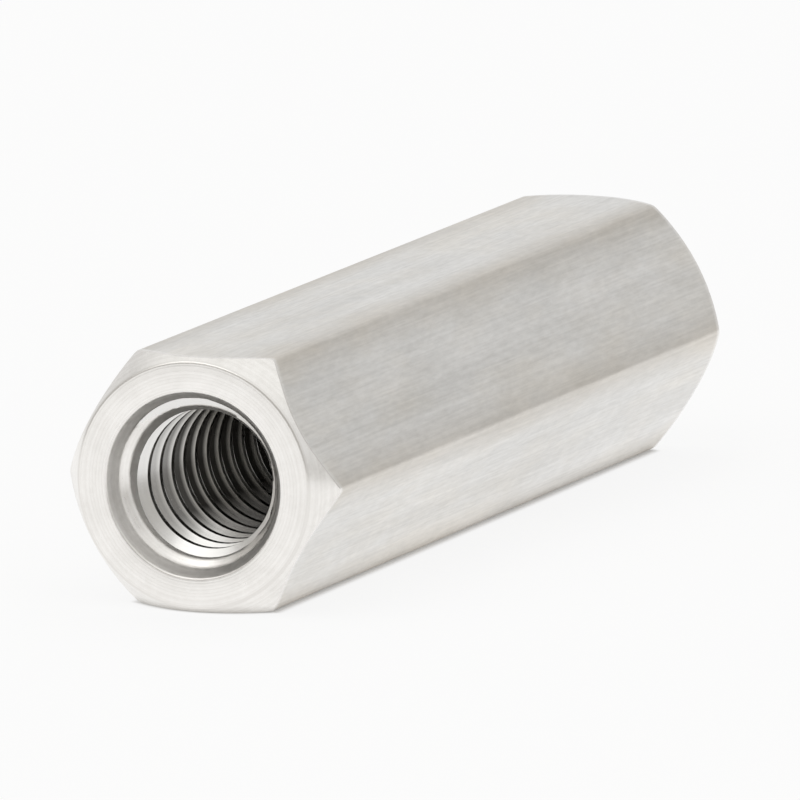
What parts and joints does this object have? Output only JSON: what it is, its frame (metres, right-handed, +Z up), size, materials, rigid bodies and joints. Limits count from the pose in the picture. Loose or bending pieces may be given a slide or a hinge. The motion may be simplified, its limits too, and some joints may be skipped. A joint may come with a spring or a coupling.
{
  "type": "hex standoff",
  "caption": "Hexagonal steel spacer, drilled and tapped right through, with countersunk mouths and chamfered ends, that holds two parts a set distance apart.",
  "frame": {"origin": "on the surface that the standoff lies on, under the middle of its length", "axes": "+Z up, Y along the bore, -Y out of the mouth that faces the picture's camera"},
  "size_m": [0.0068, 0.025, 0.006],
  "materials": {
    "stainless_steel": "drawn hexagon bar with a fine lengthwise grain on its flats and bright turned ends"
  },
  "bodies": {
    "root": {"hex_standoff": "stainless_steel"}
  },
  "joints": []
}
